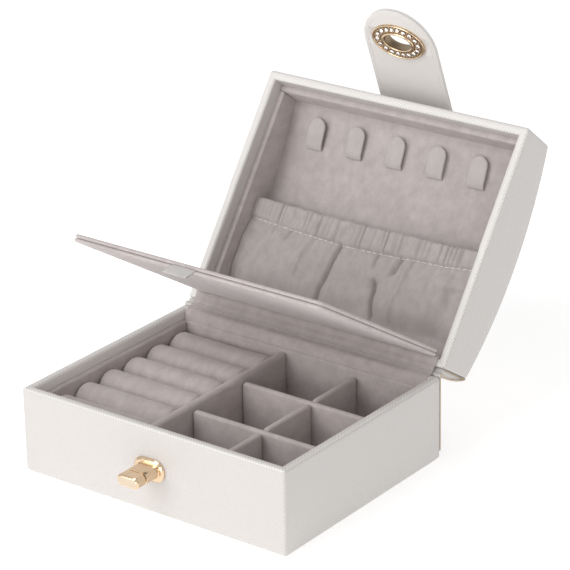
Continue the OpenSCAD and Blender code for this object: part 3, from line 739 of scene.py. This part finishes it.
def necklace_hook(index):
    """A stiff velvet tongue, rooted at its rear end and standing off the panel at its round end."""
    name = f"necklace_hook_{index}"
    x0 = node_middle(name).x
    place = panel_place(LID_MID - HALF_D + HOOKS_BACK) @ Matrix.Translation((x0, 0, 0))
    length, half_w, thick, stand = 17.0, 5.2, 1.5, 2.3
    round_from = length - half_w
    ways = [round_from * k / 14 for k in range(15)] + [round_from + half_w * s for s, c in arc(9)[1:]]
    loops = []
    for way in ways:
        over = max(way - round_from, 0.0)
        half = max(math.sqrt(max(half_w ** 2 - over ** 2, 0)), 0.25)
        rise = min((way + 0.6) / 4.0, 1.0)
        height = -stand * (0.75 * rise * (2 - rise) + 0.25 * way / length) - thick / 2 + 0.5
        section = rect_loop(half, thick / 2, 0.6, 3)
        loops.append([(x, length / 2 - way, height + z) for x, z in section])
    hook = loft(name + "_velvet", loops, hook_velvet, place)
    return done(hook, "lid", "grey_velvet", name)


# ---- pocket ----

POCKET_BACK = 65.8  # from the lid's front to the pocket's top edge
POCKET_FRONT = LID_MID - HALF_D + POCKET_BACK
POCKET_REAR = LID_MID + HALF_D - WALL - LINER - 0.6
HEM = 10.6

# place across at the stitching, place across at the rear, start and end behind the hem, depth, half width
POCKET_CREASES = ((-13.6, -17.5, -9, 40, 3.0, 1.3), (10.6, 19.5, -9, 12, 1.2, 1.1),
                  (11.0, 20.8, 14, 44, 3.2, 1.4), (24.2, 21.5, -8, 14, 2.6, 1.3),
                  (-46.5, -49.5, -8, 8, 1.6, 1.3), (-68.0, -72.0, 4, 44, 1.5, 3.0),
                  (47.0, 52.0, 2, 20, 0.8, 3.0), (66.0, 56.0, 10, 44, 2.0, 6.0))
POCKET_RIDGES = ((-32.2, -36.0, -9, 28, 1.1, 1.4), (31.8, 30.6, -1, 40, 1.4, 1.6),
                 (-57.5, -66.0, 0, 30, 1.0, 2.4), (8.6, 13.5, 0, 24, 0.9, 1.8),
                 (55.0, 61.0, 2, 26, 0.8, 3.0))


def smooth(t):
    t = min(max(t, 0.0), 1.0)
    return t * t * (3 - 2 * t)


def crease(x, behind, line):
    """How strongly a place on the pocket belongs to one crease or ridge: a sharp line in a wide dip."""
    top, low, start, end, depth, half = line
    middle = top + (low - top) * behind / 45 + 0.7 * noise.noise(Vector((behind / 6, top, 0.4)))
    along = smooth((behind - start) / 4) * smooth((end - behind) / 6)
    off = (x - middle) / half
    return depth * along * (math.exp(-off ** 2) + 0.4 * math.exp(-(off / 4) ** 2))


def pleats(x):
    """Rounded pleats with sharp valleys between them, 1 at the crown and 0 in the valley."""
    wander = 1.5 * noise.noise(Vector((x / 9, 0.3, 4.1))) + 0.6 * noise.noise(Vector((x / 3.6, 1.9, 0.2)))
    return abs(math.sin(math.pi * (x / 5.6 + wander))) ** 0.6


def pocket_relief(x, behind):
    """Pleats, creases and swells of the gathered cloth, behind its line of stitches or before it."""
    uneven = 0.75 + 0.8 * noise.noise(Vector((x / 7, 8.2, 0)))
    if behind < 0:
        fade = 1.0 if behind < -2 else 0.5 + 0.5 * smooth(-behind / 2)
    else:
        fade = 0.5 * math.exp(-behind / 8)
    bag = smooth(behind / 14) * (1 - smooth((behind - 30) / 14))
    swell = 2.2 * noise.noise(Vector((x / 15, behind / 30, 7.7)))
    swell += 1.5 * noise.noise(Vector((x / 31, behind / 40, 2.2)))
    relief = 2.0 * fade * uneven * (pleats(x) - 0.5) + bag * (1.2 + swell)
    relief -= sum(crease(x, behind, line) for line in POCKET_CREASES)
    relief += sum(crease(x, behind, line) for line in POCKET_RIDGES)
    return relief


def pocket_sag(x, way):
    """The top edge and the stitches hang lower between the pocket's ends."""
    top = 0.3 + 0.9 * math.exp(-((x + 15) / 32) ** 2) - 0.6 * smooth((x - 45) / 25)
    top += 0.5 * noise.noise(Vector((x / 4.5, 5.5, 0.2)))
    seam = 0.2 + 3.5 * math.exp(-((x + 12) / 52) ** 2) - 1.2 * smooth((x - 50) / 18)
    if way < HEM:
        return top + (seam - top) * smooth(way / HEM)
    return seam * (1 - smooth((way - HEM) / 40))


def pocket():
    """One sheet of cloth: folded in round the elastic, stitched, and gathered down to the rear."""
    half = HALF_W - WALL - LINER - 0.2
    columns = 300
    hem = [(HEM - 0.2 - 1.9 * k, 6.2, 0.0) for k in range(5)]
    hem += [(0.9, 6.3, 0.1), (0.3, 6.9, 0.3), (0.0, 7.7, 0.6)]
    hem += [(0.2, 8.6, 0.9)] + [(0.8 + 0.75 * k, 9.4, 1.0) for k in range(11)] + [(9.2, 9.1, 1.0)]
    hem += [(HEM - 0.5, 8.2, 0.8), (HEM, 7.6, 0.7), (HEM + 0.5, 7.8, 0.8)]
    deep = POCKET_REAR - POCKET_FRONT - HEM
    body = [(HEM + deep * t, 0.0, 1.0) for t in [0.02 + 0.98 * k / 64 for k in range(65)]]
    lines = []
    for way, stand, share in hem + body:
        behind = way - HEM
        line = []
        for c in range(columns + 1):
            x = -half + 2 * half * c / columns
            level = stand
            if not stand:
                t = behind / deep
                level = 7.9 + 1.2 * math.sin(math.pi * min(2.2 * t, 1)) - 6.9 * smooth((t - 0.55) / 0.45)
            closing = 1 - smooth((behind / deep - 0.8) / 0.2)
            height = max(level + share * closing * pocket_relief(x, behind), 0.6)
            if stand > 8.5 and way < 9.5:
                height = max(height, 8.4)
            y = POCKET_FRONT + way + pocket_sag(x, way)
            line.append((x, y, dome_height(y, PANEL_IN + height)))
        lines.append(line)
    width = columns + 1
    faces = [(a, a + 1, a + width + 1, a + width)
             for a in (r * width + c for r in range(len(lines) - 1) for c in range(columns))]
    verts = [p for line in lines for p in line]
    cloth = add_object("pocket_cloth_folds", verts, faces, shaded_pocket_fabric, LID, 180)
    solid = cloth.modifiers.new("thickness", "SOLIDIFY")
    solid.thickness = 0.5 * MM
    solid.offset = 0
    apply_modifiers(cloth)
    done(cloth, "lid", "pocket_cloth", "pocket_cloth")
    return lines[len(hem) - 2]


def apply_modifiers(obj):
    graph = bpy.context.evaluated_depsgraph_get()
    mesh = bpy.data.meshes.new_from_object(obj.evaluated_get(graph))
    obj.modifiers.clear()
    obj.data = mesh


def capsule(start, end, r, sides=6):
    """The loops of a thread end to end, fuller in the middle."""
    a, b = Vector(start), Vector(end)
    run = (b - a).normalized()
    side = run.orthogonal().normalized()
    other = run.cross(side)
    loops = []
    for share, size in ((0, 0.35), (0.15, 0.8), (0.5, 1.0), (0.85, 0.8), (1, 0.35)):
        middle = a.lerp(b, share)
        turns = [math.tau * k / sides for k in range(sides)]
        loops.append([middle + (side * math.cos(t) + other * math.sin(t)) * r * size for t in turns])
    return loops


def stitches(name, pairs, r, material, place):
    """One object of many stitches, each from one point to another."""
    verts, faces = capped(capsule(start, end, r) for start, end in pairs)
    return add_object(name, verts, faces, material, place)


def pocket_stitches(row):
    """The line of stitches under the elastic's channel."""
    out = Vector((0, 0, -0.4))
    pairs = [(Vector(row[k]) + out, Vector(row[k + 5]) + out) for k in range(2, len(row) - 6, 7)]
    line = stitches("pocket_stitching", pairs, 0.24, pale_thread, LID)
    done(line, "lid", "pocket_cloth")


# ---- flap ----


FLAP_SET = 1.5
FLAP_LONG = 115.5
TAB_X = -6.0


def flap_board(name, top, bottom):
    half_x = node_box("flap_upper_board")[1].x
    board = soft_board(name + "_velvet", (-half_x, -FLAP_SET - FLAP_LONG, bottom), (half_x, -FLAP_SET, top),
                       grey_velvet, 2, 0.93, 2.2, FLAP)
    return done(board, "flap", "grey_velvet", name)


def flap():
    flap_board("flap_upper_board", 2.0, 0.07)
    flap_board("flap_lower_board", -0.07, -2.0)
    edge = -FLAP_SET - FLAP_LONG
    loop = smooth_path([(edge + 7, 0.0), (edge + 0.6, 0.02), (edge - 0.35, -0.5), (edge - 1.1, -2.3),
                        (edge - 1.8, -4.2), (edge - 1.8, -4.85), (edge - 1.4, -4.9), (edge - 0.95, -4.4),
                        (edge - 0.45, -2.9), (edge - 0.3, -1.5), (edge + 0.2, -0.6), (edge + 6, -0.45)], 5)
    skewed = Matrix(((1, 0, 0.65, TAB_X), (0, 1, 0, 0), (0, 0, 1, 0), (0, 0, 0, 1)))
    tab = strip("flap_ribbon", loop, 0.35, 7.2, ribbon_cloth, FLAP @ skewed, columns=8)
    done(tab, "flap", "ribbon", "flap_pull_tab")
    over = smooth_path([(-FLAP_SET - 0.1, 1.2), (-FLAP_SET - 0.7, 1.95), (-FLAP_SET - 3, 2.12),
                        (-FLAP_SET - 12, 2.12)], 4)
    cover = strip("flap_hinge_strip", over, 0.3, 71, grey_velvet, FLAP, columns=20)
    done(cover, "flap", "grey_velvet", "flap_hinge_velvet")
    bead = [(0.6 * s, 0.6 * c) for s, c in arc(24, -225, 45)]
    inside = LID.inverted() @ PIVOT
    path = [(inside.y + 1.6, inside.z + 0.15)] + [(inside.y + y, inside.z + z) for y, z in bead]
    roll = strip("flap_hinge_bead", path, 0.3, 76.5, grey_velvet, LID, columns=20)
    done(roll, "lid", "grey_velvet")


# ---- strap, eyelet and lock ----

STRAP_HALF = 22.5
STRAP_LEN = 68.5
STRAP_T = 2.4
ROOT_LEN = 45.0
HOLE = (8.5, 4.7)
OVAL = (16.5, 10.5)


def strap_frame(s):
    """Where the strap's middle layer runs, in the lid's frame: on the dome, over the fold, then free."""
    fold = LID.inverted() @ FOLD
    free = LID.inverted().to_3x3() @ STRAP.to_3x3() @ Vector((0, 0, -1))
    bend = 5.0
    if s <= -bend:
        y = fold.y - s - 1.0
        slope = (y - LID_MID) / (DOME_R + STRAP_T / 2)
        return (Vector((0, y, DOME_Z + math.sqrt((DOME_R + STRAP_T / 2) ** 2 - (y - LID_MID) ** 2))),
                Vector((0, -math.sqrt(1 - slope ** 2), slope)))
    if s >= bend:
        return fold + free * s, free
    a, run_a = strap_frame(-bend)
    b, run_b = strap_frame(bend)
    t = (s + bend) / (2 * bend)
    reach = bend * 1.15
    c1, c2 = a + run_a * reach, b - run_b * reach
    point = a * (1 - t) ** 3 + c1 * 3 * t * (1 - t) ** 2 + c2 * 3 * t * t * (1 - t) + b * t ** 3
    run = ((c1 - a) * (1 - t) ** 2 + (c2 - c1) * 2 * t * (1 - t) + (b - c2) * t * t).normalized()
    return point, run


def strap_bent(x, s, out):
    """A point of the flat strap: x across, s along from the fold, out from its middle layer."""
    point, run = strap_frame(s)
    outward = Vector((0, run.z, -run.y))
    return point + outward * out + Vector((x, 0, 0))


def strap_outline(inset):
    """Points down the right side of the flat strap, from its root to its tip."""
    straight = STRAP_LEN - STRAP_HALF
    r = STRAP_HALF - inset
    points = [(r, -ROOT_LEN + inset + (ROOT_LEN + straight - inset) * k / 70) for k in range(71)]
    return points + [(r * c, straight + r * s) for s, c in arc(24, 0, 88)[1:]]


def strap():
    layer = STRAP_T / 2
    edge = 0.45
    one = [(edge * (1 - s), edge * (1 - c)) for s, c in arc(3)]
    one += [(edge * (1 - s), layer - edge * (1 - c)) for s, c in reversed(arc(3))]
    steps = [(inset + 0.05, z - layer) for inset, z in one] + [(inset + 0.05, z) for inset, z in one]
    loops = []
    for inset, out in steps:
        side = strap_outline(inset)
        loop = [strap_bent(x, s, out) for x, s in side]
        loop += [strap_bent(-x, s, out) for x, s in reversed(side)]
        loops.append(loop)
    count = len(loops[0])
    half = count // 2
    faces = bridge(loops)
    for first in (0, (len(loops) - 1) * count):
        last = first + count - 1
        faces += [(first + k, first + k + 1, last - 1 - k, last - k) for k in range(half - 1)]
    skin = add_object("strap_skin", [p for loop in loops for p in loop], faces, strap_leather, LID, 50)
    cut_oval(skin, HOLE[0] + 0.9, HOLE[1] + 0.9)
    weave_map(skin, STRAP)
    blended(skin, "white_leather", ("lid", "strap"), strap_world(-4), strap_world(4),
            "strap_root", "strap_outer", "strap_inner")
    pairs = []
    for face in (-1, 1):
        way = 8.0
        side = [Vector((x, s, 0)) for x, s in strap_outline(2.6) if s > way]
        side += [Vector((-p.x, p.y, 0)) for p in reversed(side)]
        pairs += stitch_line(side, 2.1, 0.8, face * (STRAP_T / 2 + 0.05))
    sewing = stitches("strap_stitching", pairs, 0.24, thread, STRAP)
    done(sewing, "strap", "white_leather")


def strap_world(s):
    return LID @ strap_bent(0, s, 0)


def stitch_line(points, length, gap, out):
    """Stitches evenly along a line of flat strap points, as pairs in the strap's frame."""
    pairs, start, walked, target = [], None, 0.0, 0.0
    for a, b in zip(points, points[1:]):
        span = (b - a).length
        while target <= walked + span:
            p = a.lerp(b, (target - walked) / span)
            spot = Vector((p.x, -out, -p.y))
            if start is None:
                start, target = spot, target + length
            else:
                pairs.append((start, spot))
                start, target = None, target + gap
        walked += span
    return pairs


def oval(a, b, count=96):
    return [(a * math.cos(math.tau * k / count), b * math.sin(math.tau * k / count)) for k in range(count)]


def eyelet_place(side):
    """The eyelet's middle, with +Z out of the strap's outer face (side 1) or inner face (-1)."""
    turn = Matrix.Rotation(math.radians(90 * side), 4, "X")
    return STRAP @ Matrix.Translation((0, 0, -EYELET_DROP)) @ turn


def cut_oval(obj, a, b):
    loops = [[(x, y, z) for x, y in oval(a, b, 64)] for z in (-6, 6)]
    cutter = loft("cutter", loops, white_leather, eyelet_place(1))
    cut = obj.modifiers.new("hole", "BOOLEAN")
    cut.object = cutter
    cut.operation = "DIFFERENCE"
    apply_modifiers(obj)
    bpy.data.objects.remove(cutter)


def eyelet():
    """Two cast oval halves, each a channel of stones between a rolled rim and a taller collar, with painted
    shade in the hole and on the channel's floor.
    """
    face = STRAP_T / 2
    profile = [(0.0, 0.0), (0.0, 1.55), (0.03, 1.78), (0.09, 1.85), (0.16, 1.75), (0.2, 1.35), (0.22, 0.75),
               (0.84, 0.75), (0.86, 1.2), (0.9, 1.42), (0.95, 1.4), (0.99, 1.1), (1.0, 0.5), (1.0, 0.02)]
    for side, name in ((1, "outer"), (-1, "inner")):
        loops = []
        for share, height in profile:
            a = HOLE[0] + (OVAL[0] - HOLE[0]) * share
            b = HOLE[1] + (OVAL[1] - HOLE[1]) * share
            loops.append([(x, y, face + height) for x, y in oval(a, b)])
        if side == 1:
            loops.insert(0, [(x, y, -face) for x, y in oval(HOLE[0], HOLE[1])])
            loops.insert(0, [(x, y, -face) for x, y in oval(HOLE[0] + 0.85, HOLE[1] + 0.85)])
            loops.append([(x, y, face + 0.02) for x, y in oval(HOLE[0] + 0.85, HOLE[1] + 0.85)])
        casting = loft(f"eyelet_{name}_casting", loops, gold, eyelet_place(side), closed=True, sharp=50)
        # the faces down the hole and on the channel's floor take the darker gold: painted shade
        casting.data.materials.append(painted_shade_gold)
        back = eyelet_place(side).inverted()
        for polygon in casting.data.polygons:
            x, y, z = back @ (polygon.center / MM)
            in_hole = (x / HOLE[0]) ** 2 + (y / HOLE[1]) ** 2 < 1.02
            if in_hole or abs(z - face - 0.75) < 0.05:
                polygon.material_index = 1
        done(casting, "strap", "gold_metal", f"eyelet_{name}")
        stones(side, name, face + 0.75)


def brilliant(middle, turn, r):
    """A small faceted stone: table, crown, girdle and a low base."""
    rings = []
    for size, height, shift in ((0.55, 0.62, 0.5), (0.8, 0.46, 0.0), (1.0, 0.2, 0.5), (0.98, 0.06, 0.5),
                                (0.6, -0.2, 0.5)):
        rings.append([(middle[0] + r * size * math.cos(turn + math.tau * (k + shift) / 8),
                       middle[1] + r * size * math.sin(turn + math.tau * (k + shift) / 8),
                       middle[2] + r * height) for k in range(8)])
    return rings


def stones(side, name, level):
    count = 18
    a = (OVAL[0] - 1.2 + 10.2) / 2
    b = (OVAL[1] - 1.2 + 6.4) / 2
    even = (a - b) / (a + b) / 2
    cut = []
    bead_middles = []
    for k in range(count):
        s = math.tau * k / count
        t = s + even * math.sin(2 * s)
        half_step = math.tau * (k + 0.5) / count
        t_next = half_step + even * math.sin(2 * half_step)
        cut.append(brilliant((a * math.cos(t), b * math.sin(t), level + 0.3), t, 1.3))
        for spread in (-1.15, 1.15):
            out = Vector((b * math.cos(t_next), a * math.sin(t_next), 0)).normalized() * spread
            bead_middles.append(Vector((a * math.cos(t_next), b * math.sin(t_next), level + 0.25)) + out)
    gems = add_object(f"stones_{name}_cut", *capped(cut), stone, eyelet_place(side), 5)
    done(gems, "strap", "glass_stone", f"stones_{name}")
    beads = ball_cluster(f"eyelet_{name}_beads", bead_middles, 0.42, gold, eyelet_place(side))
    done(beads, "strap", "gold_metal")


def ball_cluster(name, middles, r, material, place):
    """One object of many small balls."""
    balls = [[[(middle.x + r * c * math.cos(math.tau * k / 8), middle.y + r * c * math.sin(math.tau * k / 8),
                middle.z + r * s) for k in range(8)] for s, c in arc(6, -80, 80)] for middle in middles]
    return add_object(name, *capped(balls), material, place, 60)


def slot_loops(width, height, steps):
    """Round-ended outlines in X and Z, each by its inset and how far it stands out of the lock's face."""
    across, end = width / 2, height / 2
    return [[(x, -out, z) for x, z in rect_loop(across - inset, end - inset, end - inset, 12)]
            for inset, out in steps]


def lock():
    """Bevelled plate with its boss, and the turning head with a brushed face."""
    place = Matrix.Translation(LOCK)
    plate_w, plate_h, plate_t, boss_end = 19.0, 12.0, 2.0, 10.8
    knob_w, knob_h = 13.5, 6.5
    loops = slot_loops(plate_w, plate_h, [(0.1, 0), (0, 0.2), (0, 1.0), (0.25, 1.25), (0.95, 1.85),
                                          (1.2, plate_t)])
    loops += slot_loops(knob_w, knob_h, [(-0.35, plate_t), (-0.05, plate_t + 0.35), (0, plate_t + 0.6),
                                         (0, boss_end - 0.5), (0.15, boss_end - 0.15), (0.5, boss_end)])
    plate = loft("lock_casting", loops, gold, place, sharp=25)
    done(plate, "base", "gold_metal", "lock_plate")
    head = boss_end + 0.45
    tip = boss_end + 1.2 + 6.0
    loops = slot_loops(knob_w, knob_h, [(1.2, boss_end + 0.1), (1.2, head), (0.5, head), (0.15, head + 0.2),
                                        (0, head + 0.5), (0, tip - 1.0), (0.2, tip - 0.75),
                                        (0.75, tip - 0.12), (1.0, tip)])
    knob = loft("lock_head", loops, gold, place, sharp=25)
    knob.data.materials.append(brushed_gold)
    for face in knob.data.polygons:
        if face.normal.y < -0.95 and face.center.y < (LOCK.y - tip + 0.2) * MM:
            face.material_index = 1
    done(knob, "knob", "gold_metal", "turn_knob")


# ---- CAD pieces that keep their shape ----


def finish_cad_nodes():
    finishes = {"bottom_sheet": foot_paper, "lock_backing_plate": steel, "pocket_elastic": elastic_band}
    for name, node in frame["nodes"].items():
        if node.hide_render:
            continue
        material = fibre_board if name.endswith("_board") else finishes.get(name, grey_velvet)
        for slot in node.material_slots:
            slot.material = material


# ---- floor and light ----


def area_light(name, place, target, size, power):
    data = bpy.data.lights.new(name, "AREA")
    data.energy = power
    data.size = size
    light = bpy.data.objects.new(name, data)
    bpy.context.collection.objects.link(light)
    light.location = place
    light.rotation_euler = (Vector(target) - Vector(place)).to_track_quat("-Z", "Y").to_euler()


def stage():
    s = Shader("floor_paint", Roughness=0.9, Specular_IOR_Level=0.1, Emission_Color=(1, 1, 1, 1),
               Emission_Strength=0.42)
    s.colour(s.ramp(s.noise(3, 2.0), [(0.3, (0.95, 0.95, 0.95)), (0.7, (0.97, 0.97, 0.97))]))
    reach = 12.0
    mesh = bpy.data.meshes.new("floor")
    mesh.from_pydata([(-reach, -reach, 0), (reach, -reach, 0), (reach, reach, 0), (-reach, reach, 0)], [],
                     [(0, 1, 2, 3)])
    mesh.materials.append(s.material)
    floor = bpy.data.objects.new("floor", mesh)
    bpy.context.collection.objects.link(floor)
    world = bpy.data.worlds.new("studio")
    bpy.context.scene.world = world
    world.use_nodes = True
    nodes, links = world.node_tree.nodes, world.node_tree.links
    split = nodes.new("ShaderNodeSeparateXYZ")
    links.new(nodes.new("ShaderNodeTexCoord").outputs["Generated"], split.inputs[0])
    sky = nodes.new("ShaderNodeValToRGB")
    links.new(split.outputs[2], sky.inputs[0])
    for stop, (level, grey) in zip(sky.color_ramp.elements, ((0.82, 1.0), (0.9, 0.35))):
        stop.position = level
        stop.color = (grey, grey, grey, 1)
    links.new(sky.outputs[0], nodes["Background"].inputs[0])
    nodes["Background"].inputs[1].default_value = 0.7
    area_light("key", (-0.75, -1.6, 0.75), (0, 0, 0.05), 0.9, 7.5)
    area_light("high", (-0.4, -1.25, 1.5), (0, 0, 0.05), 1.0, 9)
    area_light("front", (0.7, -1.7, 0.35), (0, 0, 0.08), 0.7, 4)
    bpy.context.scene.view_settings.view_transform = "Standard"


# ---- make everything ----

base_shell()
base_liners()
for roll in range(1, 7):
    ring_roll(roll)
hinge_velvet()
crease_ridges()
spine()
lid_shell()
lid_liners()
for hook in range(1, 6):
    necklace_hook(hook)
pocket_stitches(pocket())
flap()
strap()
eyelet()
lock()
finish_cad_nodes()
stage()
